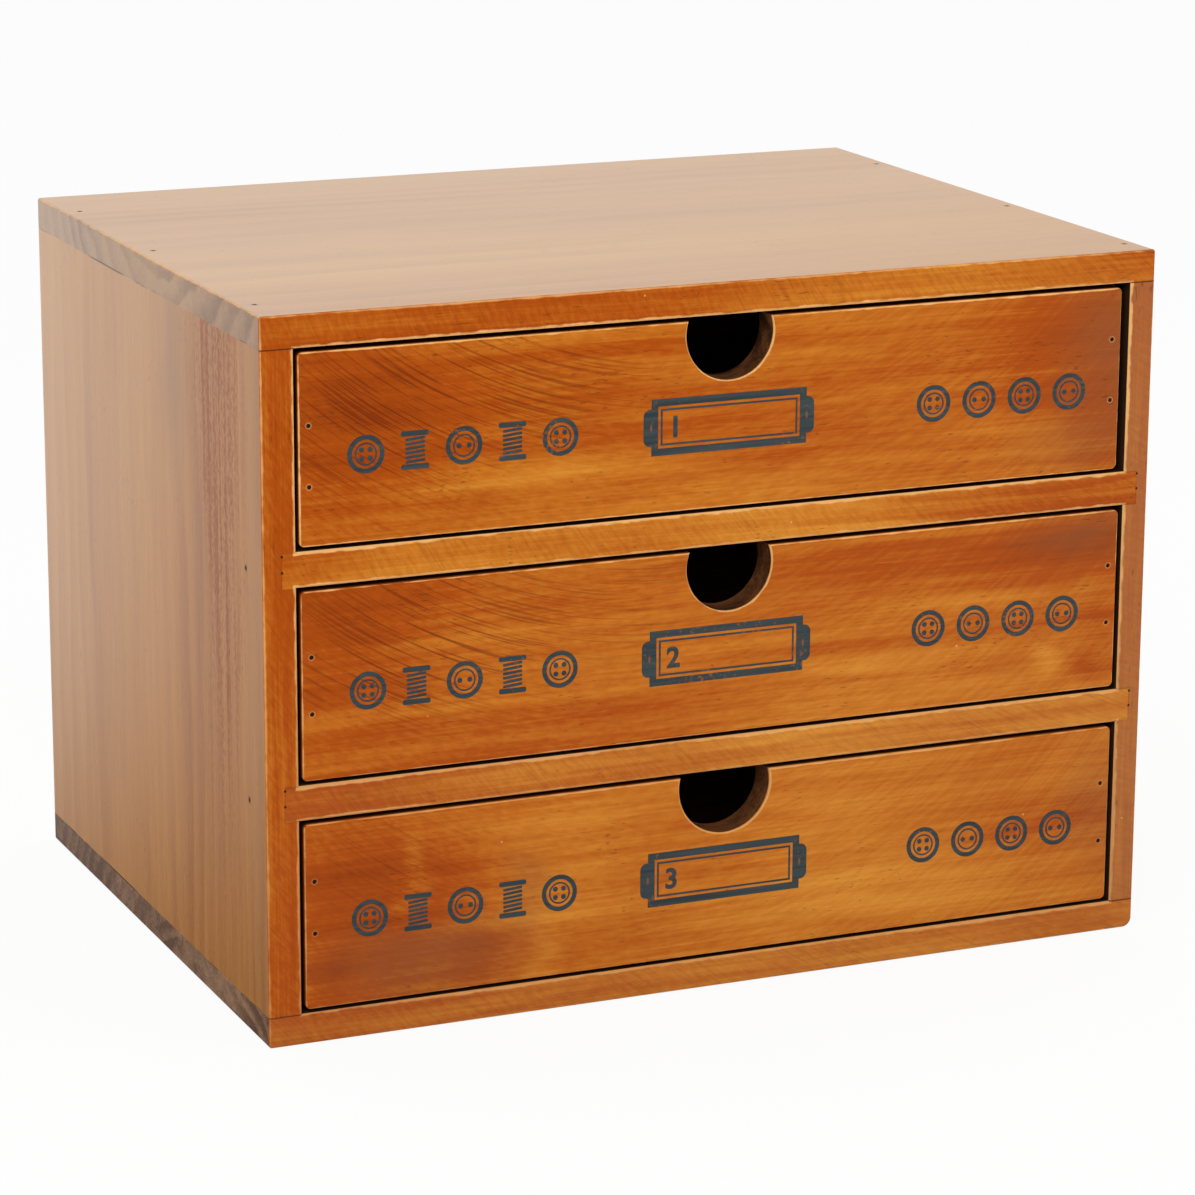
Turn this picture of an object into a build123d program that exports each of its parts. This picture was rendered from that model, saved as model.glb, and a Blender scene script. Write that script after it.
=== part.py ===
from build123d import *

import os

# Three-drawer storage cabinet of stained pine boards, nailed and glued.
# Millimetres, +Z up. The origin is the centre of the footprint, on the surface it stands on.
# The drawers face -Y, and left and right are as seen from the front.

# --- Case -------------------------------------------------------------------------------
case_width = 330.0
case_depth = 250.0
top_board_thickness = 11.1
bottom_board_thickness = 10.7
side_board_thickness = {"left": 11.5, "right": 9.4}
opening_height = 67.6       # clear height of each drawer opening
rail_height = 12.0          # the bar between two openings
rail_depth = 35.0
rail_housing = 4.9          # depth of the groove in a side board that holds a rail's end
runner_width = 12.0         # strip behind each rail's end that carries a drawer
back_thickness = 3.5
back_rebate = 6.0           # width of the step in the boards that seats the back panel
back_slack = 0.2            # between the back panel's edges and that step
outer_edge_radius = 1.0
foot_edge_radius = 3.5      # the lower right edge is rounded more than the others
opening_bevel = 0.7         # worn edge all round each opening

# --- Drawers ----------------------------------------------------------------------------
drawer_names = ["lower", "middle", "upper"]
left_gap = {"lower": 1.5, "middle": 1.4, "upper": 1.3}
right_gap = {"lower": 2.1, "middle": 2.0, "upper": 3.5}
gap_below_front = 1.4
gap_above_front = 1.5
running_gap = 0.3           # under the drawer's sides, above what they run on
stop_gap = 0.3              # between the closed drawer and the back panel
front_thickness = 11.5
front_corner_radius = 1.8
front_edge_radius = 0.8
# Round finger notch in the front's upper edge.
notch_radius = {"lower": 17.1, "middle": 15.9, "upper": 16.1}
notch_centre_drop = {"lower": 4.1, "middle": 5.8, "upper": 4.9}    # below that edge
notch_centre_x = {"lower": 1.6, "middle": 2.4, "upper": 1.7}
drawer_side_thickness = 7.0
drawer_side_drop = 6.1      # the sides' upper edges, below the opening's ceiling
drawer_side_edge_radius = 0.8
drawer_back_thickness = 7.0
bottom_thickness = 3.0
bottom_rise = 5.0           # from the sides' lower edges to the bottom panel
groove_depth = 3.0
groove_slack = 0.3          # between the bottom panel's edges and its grooves

# --- Brads ------------------------------------------------------------------------------
brad_radius = 0.6
brad_head_radius = 0.8
brad_head_height = 0.6
brad_set = 0.2              # how far each head lies under the surface
brad_length = 25.0
back_brad_length = 15.0
back_brads_across = 4       # along the top and bottom edges of the back panel
back_brads_up = 2           # along its left and right edges
runner_brad_bite = 6.0      # how far a runner's brads go into the side board
runner_brad_margin = 25.0   # from the runner's ends
rail_brad_setback = 17.0    # from the case's front
rail_brad_drop = 2.0        # below the rail's centre line
pin_radius = 0.45
pin_length = 15.0
pin_rises = (5.0, -0.4)     # the two pins at each end of a rail, from its centre line
drawer_back_brad_margin = 14.0

# Rows of brads along a board's left and right edge: distance of the first from the front,
# of the second from the middle towards the back, and of the third from the back.
top_brad_row = {"left": (21.0, 3.0, 35.0), "right": (14.0, -25.0, 44.0)}
bottom_brad_row = {"left": (18.0, 6.0, 30.0), "right": (22.0, -8.0, 26.0)}

# Two brads through each end of a drawer's front: distance of the lower one above the
# side's lower edge, and of the upper one below the side's upper edge.
front_brad_margins = {
    "lower": {"left": (27.6, 15.4), "right": (23.4, 16.2)},
    "middle": {"left": (24.0, 17.8), "right": (25.0, 15.4)},
    "upper": {"left": (21.1, 19.7), "right": (26.1, 13.5)},
}

# --- Worked out from the values above ----------------------------------------------------
sides = {"left": -1, "right": 1}
drawer_count = len(drawer_names)
pitch = opening_height + rail_height
side_height = drawer_count * opening_height + (drawer_count - 1) * rail_height
case_height = bottom_board_thickness + side_height + top_board_thickness
side_middle = bottom_board_thickness + side_height / 2
inner_faces = {
    side: sign * (case_width / 2 - side_board_thickness[side]) for side, sign in sides.items()
}
inner_width = inner_faces["right"] - inner_faces["left"]
inner_middle = (inner_faces["left"] + inner_faces["right"]) / 2
back_panel_front = case_depth / 2 - back_thickness
runner_length = back_panel_front + case_depth / 2 - rail_depth
runner_middle = (back_panel_front - case_depth / 2 + rail_depth) / 2
rail_ends = {side: inner_faces[side] + sign * rail_housing for side, sign in sides.items()}
drawer_end = back_panel_front - stop_gap
front_back_face = front_thickness - case_depth / 2
drawer_side_height = opening_height - drawer_side_drop - running_gap

front_plane = Plane.XZ.offset(case_depth / 2)
rear_plane = Plane.XZ.offset(-case_depth / 2)


def opening_floor(level):
    """Height of the floor of an opening, counted from 0 at the bottom."""
    return bottom_board_thickness + level * pitch


def rail_centre(level):
    """Height of the centre line of the rail under an opening."""
    return opening_floor(level) - rail_height / 2


def save(builder, node):
    """Label a finished piece and write it under its node's name."""
    builder.part.label = node
    export_step(builder.part, f"parts/{node}.step")


def block(x_range, y_range, z_range, mode=Mode.ADD):
    """A square block between two coordinates along each axis, in the part being built."""
    ranges = (x_range, y_range, z_range)
    width, depth, height = (high - low for low, high in ranges)
    centre = tuple((low + high) / 2 for low, high in ranges)
    with Locations(centre):
        Box(width, depth, height, mode=mode)


def cut_back_rebate():
    """Cut the back panel's seat into the board being built."""
    with BuildSketch(rear_plane) as seat:
        with Locations((inner_middle, side_middle)):
            Rectangle(inner_width + 2 * back_rebate, side_height + 2 * back_rebate)
    extrude(seat.sketch, amount=back_thickness, mode=Mode.SUBTRACT)


def bevel_openings():
    """Wear the front edges of the openings down on the board being built."""
    for level in range(drawer_count):
        middle = opening_floor(level) + opening_height / 2
        with BuildSketch(front_plane) as worn_edge:
            with Locations((inner_middle, middle)):
                Rectangle(inner_width + 2 * opening_bevel, opening_height + 2 * opening_bevel)
        with BuildSketch(front_plane.offset(-opening_bevel)) as opening:
            with Locations((inner_middle, middle)):
                Rectangle(inner_width, opening_height)
        loft([worn_edge.sketch, opening.sketch], mode=Mode.SUBTRACT)


def bore_for_brads(places, length=brad_length):
    """Cut the holes that a group of brads fills, in the part being built."""
    with Locations(*places):
        CounterBoreHole(brad_radius, brad_head_radius, brad_set + brad_head_height, length)


def bore_for_pins():
    """Cut the holes of the pins at the rails' ends, in the part being built."""
    with Locations(*pin_places):
        Hole(pin_radius, pin_length)


def drive_brads(places, length=brad_length):
    """Make a group of brads in the part being built, each head just under the surface."""
    hanging = (Align.CENTER, Align.CENTER, Align.MAX)
    with Locations(*places):
        with Locations((0, 0, -brad_set)):
            Cylinder(brad_head_radius, brad_head_height, align=hanging)
            Cylinder(brad_radius, length - brad_set, align=hanging)


def facing(x, y, z, direction):
    """A brad's place: the point where it enters, with the way its head faces."""
    return Plane(origin=(x, y, z), z_dir=direction)


def edge_row(row, height, direction):
    """Places of the brads along the left and right edge of the top or bottom board."""
    places = []
    for side, sign in sides.items():
        from_front, from_middle, from_back = row[side]
        x = sign * (case_width - side_board_thickness[side]) / 2
        for y in (from_front - case_depth / 2, from_middle, case_depth / 2 - from_back):
            places.append(facing(x, y, height, direction))
    return places


# --- Places of the case's brads and pins --------------------------------------------------
top_brad_places = edge_row(top_brad_row, case_height, (0, 0, 1))
bottom_brad_places = edge_row(bottom_brad_row, 0, (0, 0, -1))

rail_brad_places = [
    facing(
        sign * case_width / 2,
        rail_brad_setback - case_depth / 2,
        rail_centre(level) - rail_brad_drop,
        (sign, 0, 0),
    )
    for level in range(1, drawer_count)
    for sign in sides.values()
]

pin_places = [
    facing(rail_ends[side], -case_depth / 2, rail_centre(level) + rise, (0, -1, 0))
    for level in range(1, drawer_count)
    for side in sides
    for rise in pin_rises
]

back_brad_x = (inner_width + back_rebate) / 2
back_brad_z = (side_height + back_rebate) / 2
back_brad_places = []
for sign in (-1, 1):
    for i in range(back_brads_across):
        x = inner_middle + back_brad_x * (2 * i / (back_brads_across - 1) - 1)
        place = facing(x, case_depth / 2, side_middle + sign * back_brad_z, (0, 1, 0))
        back_brad_places.append(place)
    for i in range(back_brads_up):
        x = inner_middle + sign * back_brad_x
        z = side_middle + back_brad_z * (2 * (i + 1) / (back_brads_up + 1) - 1)
        back_brad_places.append(facing(x, case_depth / 2, z, (0, 1, 0)))


def runner_brad_places(level, side):
    """Places of the brads that hold one runner, in its face towards the drawers."""
    reach = runner_length / 2 - runner_brad_margin
    sign = sides[side]
    x = inner_faces[side] - sign * runner_width
    return [
        facing(x, runner_middle + way * reach, rail_centre(level), (-sign, 0, 0))
        for way in (-1, 1)
    ]


all_runner_brads = [
    place
    for level in range(1, drawer_count)
    for side in sides
    for place in runner_brad_places(level, side)
]

os.makedirs("parts", exist_ok=True)

# --- Case: boards ---------------------------------------------------------------------------
whole_width = (-case_width / 2, case_width / 2)
whole_depth = (-case_depth / 2, case_depth / 2)

# The top board lies on the side boards and covers their ends.
with BuildPart() as top_board:
    block(whole_width, whole_depth, (case_height - top_board_thickness, case_height))
    upper_face = top_board.faces().sort_by(Axis.Z)[-1]
    fillet(top_board.edges().filter_by(Axis.Z) + upper_face.edges(), outer_edge_radius)
    cut_back_rebate()
    bevel_openings()
    bore_for_brads(top_brad_places)
    bore_for_brads(back_brad_places, back_brad_length)
save(top_board, "top_board")

# The bottom board carries the side boards and stands on the table.
with BuildPart() as bottom_board:
    block(whole_width, whole_depth, (0, bottom_board_thickness))
    lower_edges = bottom_board.faces().sort_by(Axis.Z)[0].edges()
    foot_edge = lower_edges.sort_by(Axis.X)[-1]
    fillet(foot_edge, foot_edge_radius)
    upright_edges = bottom_board.edges().filter_by(Axis.Z)
    other_lower_edges = bottom_board.faces().sort_by(Axis.Z)[0].edges().sort_by(Axis.X)[:-1]
    fillet(upright_edges + other_lower_edges, outer_edge_radius)
    cut_back_rebate()
    bevel_openings()
    bore_for_brads(bottom_brad_places)
    bore_for_brads(back_brad_places, back_brad_length)
save(bottom_board, "bottom_board")

# The side boards stand between them, grooved for the rails' ends.
for side, sign in sides.items():
    outer_x = sign * case_width / 2
    inner_x = inner_faces[side]
    with BuildPart() as side_board:
        block(
            sorted((outer_x, inner_x)),
            whole_depth,
            (bottom_board_thickness, case_height - top_board_thickness),
        )
        outer_face = side_board.faces().sort_by(Axis.X)[-1 if sign > 0 else 0]
        fillet(outer_face.edges().filter_by(Axis.Z), outer_edge_radius)
        for level in range(1, drawer_count):
            groove_top = opening_floor(level)
            block(
                sorted((inner_x, rail_ends[side])),
                (-case_depth / 2, rail_depth - case_depth / 2),
                (groove_top - rail_height, groove_top),
                mode=Mode.SUBTRACT,
            )
        cut_back_rebate()
        bevel_openings()
        bore_for_brads(top_brad_places)
        bore_for_brads(bottom_brad_places)
        bore_for_brads(rail_brad_places)
        bore_for_brads(back_brad_places, back_brad_length)
        bore_for_brads(all_runner_brads, runner_width + runner_brad_bite)
        bore_for_pins()
    save(side_board, f"{side}_side_board")

# Plywood back, nailed into the step round the back of the boards.
with BuildPart() as back_panel:
    with BuildSketch(rear_plane):
        with Locations((inner_middle, side_middle)):
            Rectangle(
                inner_width + 2 * (back_rebate - back_slack),
                side_height + 2 * (back_rebate - back_slack),
            )
    extrude(amount=back_thickness)
    bore_for_brads(back_brad_places, back_brad_length)
save(back_panel, "back_panel")

# --- Case: rails and runners ------------------------------------------------------------------
for level in range(1, drawer_count):
    # A rail takes the name of the drawer that slides over it.
    over = drawer_names[level]
    rail_top = opening_floor(level)
    with BuildPart() as rail:
        block(
            (rail_ends["left"], rail_ends["right"]),
            (-case_depth / 2, rail_depth - case_depth / 2),
            (rail_top - rail_height, rail_top),
        )
        bevel_openings()
        bore_for_brads(rail_brad_places)
        bore_for_pins()
    save(rail, f"{over}_drawer_rail")

    for side, sign in sides.items():
        inner_x = inner_faces[side]
        with BuildPart() as runner:
            block(
                sorted((inner_x, inner_x - sign * runner_width)),
                (rail_depth - case_depth / 2, back_panel_front),
                (rail_top - rail_height, rail_top),
            )
            bore_for_brads(all_runner_brads, runner_width + runner_brad_bite)
        save(runner, f"{over}_drawer_{side}_runner")

# --- Case: brads and pins ---------------------------------------------------------------------
with BuildPart() as top_board_brads:
    drive_brads(top_brad_places)
save(top_board_brads, "top_board_brads")

with BuildPart() as bottom_board_brads:
    drive_brads(bottom_brad_places)
save(bottom_board_brads, "bottom_board_brads")

with BuildPart() as rail_brads:
    drive_brads(rail_brad_places)
save(rail_brads, "rail_brads")

with BuildPart() as back_panel_brads:
    drive_brads(back_brad_places, back_brad_length)
save(back_panel_brads, "back_panel_brads")

with BuildPart() as runner_brads:
    drive_brads(all_runner_brads, runner_width + runner_brad_bite)
save(runner_brads, "runner_brads")

with BuildPart() as rail_pins:
    with Locations(*pin_places):
        Cylinder(pin_radius, pin_length, align=(Align.CENTER, Align.CENTER, Align.MAX))
save(rail_pins, "rail_pins")

# --- Drawers ----------------------------------------------------------------------------------
for level, name in enumerate(drawer_names):
    floor = opening_floor(level)
    left_x = inner_faces["left"] + left_gap[name]
    right_x = inner_faces["right"] - right_gap[name]
    middle_x = (left_x + right_x) / 2
    width = right_x - left_x
    front_bottom = floor + gap_below_front
    front_top = floor + opening_height - gap_above_front
    side_bottom = floor + running_gap
    side_top = side_bottom + drawer_side_height
    panel_bottom = side_bottom + bottom_rise
    panel_top = panel_bottom + bottom_thickness
    inner_left = left_x + drawer_side_thickness
    inner_right = right_x - drawer_side_thickness
    inner_back = drawer_end - drawer_back_thickness

    # Brads through the front into the sides, and through the sides into the back.
    end_x = {
        "left": left_x + drawer_side_thickness / 2,
        "right": right_x - drawer_side_thickness / 2,
    }
    front_brad_places = []
    for side in sides:
        above, below = front_brad_margins[name][side]
        for z in (side_bottom + above, side_top - below):
            front_brad_places.append(facing(end_x[side], -case_depth / 2, z, (0, -1, 0)))
    back_y = drawer_end - drawer_back_thickness / 2
    drawer_back_brad_places = [
        facing(x, back_y, z, (sign, 0, 0))
        for x, sign in ((left_x, -1), (right_x, 1))
        for z in (side_bottom + drawer_back_brad_margin, side_top - drawer_back_brad_margin)
    ]

    # The front, flush with the case, with the finger notch in its upper edge.
    with BuildPart() as front:
        with BuildSketch(front_plane) as outline:
            with Locations((middle_x, (front_bottom + front_top) / 2)):
                Rectangle(width, front_top - front_bottom)
            fillet(outline.vertices(), front_corner_radius)
            with Locations((notch_centre_x[name], front_top - notch_centre_drop[name])):
                Circle(notch_radius[name], mode=Mode.SUBTRACT)
        extrude(amount=-front_thickness)
        fillet(front.faces().sort_by(Axis.Y)[0].edges(), front_edge_radius)
        block(
            (inner_left - groove_depth, inner_right + groove_depth),
            (front_back_face - groove_depth, front_back_face),
            (panel_bottom, panel_top),
            mode=Mode.SUBTRACT,
        )
        bore_for_brads(front_brad_places)
    save(front, f"{name}_drawer_front")

    # The two sides run from the front to the drawer's back end.
    side_ranges = {"left": (left_x, inner_left), "right": (inner_right, right_x)}
    groove_ranges = {
        "left": (inner_left - groove_depth, inner_left),
        "right": (inner_right, inner_right + groove_depth),
    }
    for side in sides:
        with BuildPart() as drawer_side:
            block(side_ranges[side], (front_back_face, drawer_end), (side_bottom, side_top))
            upper_face = drawer_side.faces().sort_by(Axis.Z)[-1]
            fillet(upper_face.edges().filter_by(Axis.Y), drawer_side_edge_radius)
            block(
                groove_ranges[side],
                (front_back_face, drawer_end),
                (panel_bottom, panel_top),
                mode=Mode.SUBTRACT,
            )
            bore_for_brads(front_brad_places)
            bore_for_brads(drawer_back_brad_places)
        save(drawer_side, f"{name}_drawer_{side}_side")

    # The back stands between the sides.
    with BuildPart() as drawer_back:
        block((inner_left, inner_right), (inner_back, drawer_end), (side_bottom, side_top))
        block(
            (inner_left, inner_right),
            (inner_back, inner_back + groove_depth),
            (panel_bottom, panel_top),
            mode=Mode.SUBTRACT,
        )
        bore_for_brads(drawer_back_brad_places)
    save(drawer_back, f"{name}_drawer_back")

    # The plywood bottom is held in the grooves on all four sides.
    panel_reach = groove_depth - groove_slack
    with BuildPart() as drawer_bottom:
        block(
            (inner_left - panel_reach, inner_right + panel_reach),
            (front_back_face - panel_reach, inner_back + panel_reach),
            (panel_bottom, panel_top),
        )
    save(drawer_bottom, f"{name}_drawer_bottom")

    with BuildPart() as front_brads:
        drive_brads(front_brad_places)
    save(front_brads, f"{name}_drawer_front_brads")

    with BuildPart() as drawer_back_brads:
        drive_brads(drawer_back_brad_places)
    save(drawer_back_brads, f"{name}_drawer_back_brads")
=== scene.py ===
import math

import bmesh
import bpy
from mathutils import Matrix, Vector


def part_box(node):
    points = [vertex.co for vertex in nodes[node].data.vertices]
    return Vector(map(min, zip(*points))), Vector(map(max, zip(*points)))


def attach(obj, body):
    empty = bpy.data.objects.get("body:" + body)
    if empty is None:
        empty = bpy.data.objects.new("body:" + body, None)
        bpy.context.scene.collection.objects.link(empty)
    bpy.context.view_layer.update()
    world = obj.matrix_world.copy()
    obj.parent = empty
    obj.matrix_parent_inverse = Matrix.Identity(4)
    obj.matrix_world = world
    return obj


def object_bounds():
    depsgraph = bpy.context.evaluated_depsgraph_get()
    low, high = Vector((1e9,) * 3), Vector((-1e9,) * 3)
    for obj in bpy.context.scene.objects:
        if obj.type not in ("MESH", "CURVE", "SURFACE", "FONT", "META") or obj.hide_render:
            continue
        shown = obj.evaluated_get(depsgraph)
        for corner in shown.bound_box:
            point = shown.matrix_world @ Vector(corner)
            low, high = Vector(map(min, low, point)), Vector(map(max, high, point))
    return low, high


# Button storage drawers: a stained pine case with three inset drawers. Metres, +Z up, front to -Y.

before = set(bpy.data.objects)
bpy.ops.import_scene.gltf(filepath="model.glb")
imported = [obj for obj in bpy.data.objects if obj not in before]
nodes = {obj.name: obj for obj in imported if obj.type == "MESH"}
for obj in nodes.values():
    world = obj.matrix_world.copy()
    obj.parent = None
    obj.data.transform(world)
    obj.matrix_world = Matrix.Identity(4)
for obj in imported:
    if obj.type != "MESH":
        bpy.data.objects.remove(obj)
cad_low, cad_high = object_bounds()
cad_centre = (cad_low + cad_high) / 2
cad_half = (cad_high - cad_low) / 2

MM = 0.001
X, Y, Z = 0, 1, 2

# --- Places taken from the frame ---------------------------------------------------------
front_plane = cad_low.y
top_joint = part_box("top_board")[0].z
bottom_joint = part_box("bottom_board")[1].z
left_inner_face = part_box("left_side_board")[1].x
right_inner_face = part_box("right_side_board")[0].x
middle_rail_low, middle_rail_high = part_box("middle_drawer_rail")
rail_middle = (middle_rail_low.x + middle_rail_high.x) / 2
rail_half_length = (middle_rail_high.x - middle_rail_low.x) / 2
rail_half_height = (middle_rail_high.z - middle_rail_low.z) / 2
middle_rail_centre = (middle_rail_low.z + middle_rail_high.z) / 2
opening_middle = (left_inner_face + right_inner_face) / 2
opening_half_width = (right_inner_face - left_inner_face) / 2
opening_half_height = (middle_rail_low.z - bottom_joint) / 2
opening_pitch = middle_rail_high.z - bottom_joint
first_opening = bottom_joint + opening_half_height
left_board_middle = (cad_low.x + left_inner_face) / 2
right_board_middle = (cad_high.x + right_inner_face) / 2

# --- Camera ---------------------------------------------------------------------------------
# Fitted to the corners of the case in the photograph, 1195 pixels wide and high.
photo_size = 1195.0
focal_pixels = 4406.33
sensor_width = 36.0
camera_azimuth = math.radians(-23.4264)
camera_elevation = math.radians(14.6316)
camera_roll = math.radians(0.2654)
camera_distance = 1.6145544
camera_right = 6.8974 * MM
camera_up = -14.379 * MM


def place_camera():
    """The photograph's camera: where it stands, its roll and its focal length."""
    back = Vector((
        math.sin(camera_azimuth) * math.cos(camera_elevation),
        -math.cos(camera_azimuth) * math.cos(camera_elevation),
        math.sin(camera_elevation),
    ))
    level = Vector((math.cos(camera_azimuth), math.sin(camera_azimuth), 0))
    upright = back.cross(level)
    right = level * math.cos(camera_roll) + upright * math.sin(camera_roll)
    up = upright * math.cos(camera_roll) - level * math.sin(camera_roll)
    data = bpy.data.cameras.new("camera")
    data.sensor_width = sensor_width
    data.lens = focal_pixels / photo_size * sensor_width
    data.clip_end = 50
    camera = bpy.data.objects.new("camera", data)
    camera.matrix_world = Matrix((right, up, back)).transposed().to_4x4()
    camera.location = cad_centre + back * camera_distance + right * camera_right + up * camera_up
    bpy.context.scene.collection.objects.link(camera)
    bpy.context.scene.camera = camera


# --- Shader maths ----------------------------------------------------------------------------
class Wire:
    """A value inside one finish. Arithmetic on it adds Math nodes."""

    def __init__(self, finish, socket):
        self.finish = finish
        self.socket = socket

    def __add__(self, other):
        return self.finish.maths("ADD", self, other)

    def __sub__(self, other):
        return self.finish.maths("SUBTRACT", self, other)

    def __rsub__(self, other):
        return self.finish.maths("SUBTRACT", other, self)

    def __mul__(self, other):
        return self.finish.maths("MULTIPLY", self, other)

    def __truediv__(self, other):
        return self.finish.maths("DIVIDE", self, other)

    def __abs__(self):
        return self.finish.maths("ABSOLUTE", self)

    __radd__ = __add__
    __rmul__ = __mul__


class Nodes:
    """The nodes of one material, or of the world."""

    def __init__(self, owner):
        owner.use_nodes = True
        self.tree = owner.node_tree
        self.tree.nodes.clear()

    def add(self, kind, settings=None, sockets=None, output=0):
        """A node with its settings, then its sockets' values or links. Gives one output or the node."""
        node = self.tree.nodes.new(kind)
        for key, value in (settings or {}).items():
            if key == "stops":
                self.set_stops(node.color_ramp, value)
            else:
                setattr(node, key, value)
        for key, value in (sockets or {}).items():
            if isinstance(value, Wire):
                self.tree.links.new(value.socket, node.inputs[key])
            else:
                node.inputs[key].default_value = value
        return node if output is None else Wire(self, node.outputs[output])

    def set_stops(self, ramp, stops):
        while len(ramp.elements) < len(stops):
            ramp.elements.new(1.0)
        for element, (position, colour) in zip(ramp.elements, stops):
            element.position = position
            element.color = (*colour, 1.0)

    def maths(self, operation, *values):
        return self.add("ShaderNodeMath", {"operation": operation}, dict(enumerate(values)))

    def smooth(self, value, low, high, least=0.0, most=1.0):
        """Least at low and most at high, smoothed between. Low may be the larger of the two."""
        settings = {"interpolation_type": "SMOOTHSTEP"}
        return self.add("ShaderNodeMapRange", settings, {0: value, 1: low, 2: high, 3: least, 4: most})

    def lesser(self, first, second):
        return self.maths("MINIMUM", first, second)

    def greater(self, first, second):
        return self.maths("MAXIMUM", first, second)

    def clamped(self, value):
        return self.lesser(self.greater(value, 0.0), 1.0)

    def hypot(self, first, second):
        return self.maths("SQRT", first * first + second * second)

    def vector(self, x, y, z):
        return self.add("ShaderNodeCombineXYZ", {}, {0: x, 1: y, 2: z})


class Finish(Nodes):
    """One material, built up from nodes that work on the piece's own coordinates."""

    def __init__(self, name):
        self.material = bpy.data.materials.new(name)
        super().__init__(self.material)
        self.point = self.add("ShaderNodeTexCoord", output="Object")
        split = self.add("ShaderNodeSeparateXYZ", {}, {0: self.point}, output=None)
        self.place = [Wire(self, socket) for socket in split.outputs]

    def field(self, across, along, axis, seed, detail=2.0, roughness=0.5):
        """Smooth noise about 0.5, with one frequency along an axis and another across it."""
        scale = [across, across, across]
        scale[axis] = along
        shift = (seed * 1.7, seed * 2.3, seed * 3.1)
        place = self.add(
            "ShaderNodeVectorMath", {"operation": "MULTIPLY_ADD"}, {0: self.point, 1: scale, 2: shift}
        )
        return self.noise(place, detail, roughness)

    def noise(self, vector, detail=2.0, roughness=0.5):
        sockets = {"Vector": vector, "Scale": 1.0, "Detail": detail, "Roughness": roughness}
        return self.add("ShaderNodeTexNoise", {}, sockets)

    def ramp(self, value, stops):
        return self.add("ShaderNodeValToRGB", {"stops": stops}, {0: value})

    def mix(self, factor, first, second):
        """From the first colour to the second."""
        colours = [value if isinstance(value, Wire) else (*value, 1.0) for value in (first, second)]
        sockets = {0: factor, 6: colours[0], 7: colours[1]}
        return self.add("ShaderNodeMix", {"data_type": "RGBA"}, sockets, output=2)

    def spots(self, point, axes, places):
        """Soft oval patches on a face. Each is two centres and two half sizes in mm, and an amount."""
        total = 0.0
        for first, second, half_first, half_second, amount in places:
            scale = [0.0, 0.0, 0.0]
            shift = [0.0, 0.0, 0.0]
            for axis, centre, half in ((axes[0], first, half_first), (axes[1], second, half_second)):
                scale[axis] = 1 / (half * MM)
                shift[axis] = -centre / half
            moved = self.add(
                "ShaderNodeVectorMath", {"operation": "MULTIPLY_ADD"}, {0: point, 1: scale, 2: shift}
            )
            reach = self.add("ShaderNodeVectorMath", {"operation": "LENGTH"}, {0: moved}, output=1)
            total = self.smooth(reach, 1.0, 0.0) * amount + total
        return total

    def close(self, constants, height, depth, **varying):
        """End the finish in a Principled shader, with a bump of the given height in metres."""
        sockets = {**constants, **varying}
        sockets["Normal"] = self.add("ShaderNodeBump", {}, {"Height": height, "Distance": depth})
        shader = self.add("ShaderNodeBsdfPrincipled", {}, sockets)
        self.add("ShaderNodeOutputMaterial", {}, {"Surface": shader}, output=None)
        return self.material


# --- Wood --------------------------------------------------------------------------------------
stain_stops = (
    (0.0, (0.29, 0.045, 0.002)),
    (0.35, (0.40, 0.072, 0.003)),
    (0.65, (0.525, 0.156, 0.012)),
    (1.0, (0.67, 0.27, 0.030)),
)
honey_stops = (
    (0.0, (0.24, 0.085, 0.022)),
    (0.35, (0.40, 0.165, 0.036)),
    (0.65, (0.57, 0.280, 0.076)),
    (1.0, (0.70, 0.41, 0.15)),
)
side_stops = (
    (0.0, (0.20, 0.055, 0.012)),
    (0.35, (0.33, 0.115, 0.022)),
    (0.65, (0.47, 0.205, 0.050)),
    (1.0, (0.61, 0.33, 0.12)),
)
end_stops = (
    (0.0, (0.44, 0.27, 0.15)),
    (0.35, (0.33, 0.19, 0.11)),
    (0.7, (0.22, 0.125, 0.075)),
    (1.0, (0.13, 0.070, 0.042)),
)
raw_stops = (
    (0.0, (0.40, 0.20, 0.075)),
    (0.5, (0.62, 0.385, 0.18)),
    (1.0, (0.74, 0.53, 0.30)),
)
notch_stops = (
    (0.25, (0.050, 0.018, 0.008)),
    (0.75, (0.24, 0.090, 0.030)),
)
worn_colour = (0.86, 0.47, 0.17)
# The colour of dark joints and stain, and of painted shade in gaps and just inside the openings.
joint_stain_and_shade_colour = (0.030, 0.012, 0.006)
pore_colour = (0.12, 0.030, 0.006)
saw_colour = (0.16, 0.020, 0.002)
grey_stain = (0.23, 0.085, 0.030)
dull_colour = (0.36, 0.155, 0.060)
torn_colour = (0.30, 0.096, 0.030)
greyed_colour = (0.25, 0.12, 0.055)

# The grain. Specks are counted in cells per metre, and their radius is in mm.
ring_wander = 34 * MM
patch_wander = 24 * MM
pore_amount = 0.42
speck_density = 75.0
speck_size = 0.55
speck_amount = 0.55
grain_relief = 0.09 * MM

# How wide an edge is rubbed, in mm, and the heights between which the wear grows.
case_edge_wear = 0.7
opening_edge_wear = 1.0
drawer_edge_wear = 0.55
worn_foot = 30 * MM
worn_top = 200 * MM

# How deep the stain goes in from the front, and the raw wood from the back of a drawer's front.
# An opening's inner faces get painted shade for the first stretch behind the case's front, and
# show pale raw pine from the second.
stain_depth = 1.0 * MM
raw_back_depth = 1.2 * MM
shade_start = 8 * MM
shade_end = 22 * MM

# Half widths of the dark lines at joints, and the crack under the top board on the left.
joint_line = 0.42 * MM
seam_line = 0.40 * MM
line_core = 0.12 * MM
crack_middle = 40 * MM
crack_half_length = 24 * MM
crack_core = 14 * MM
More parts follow.
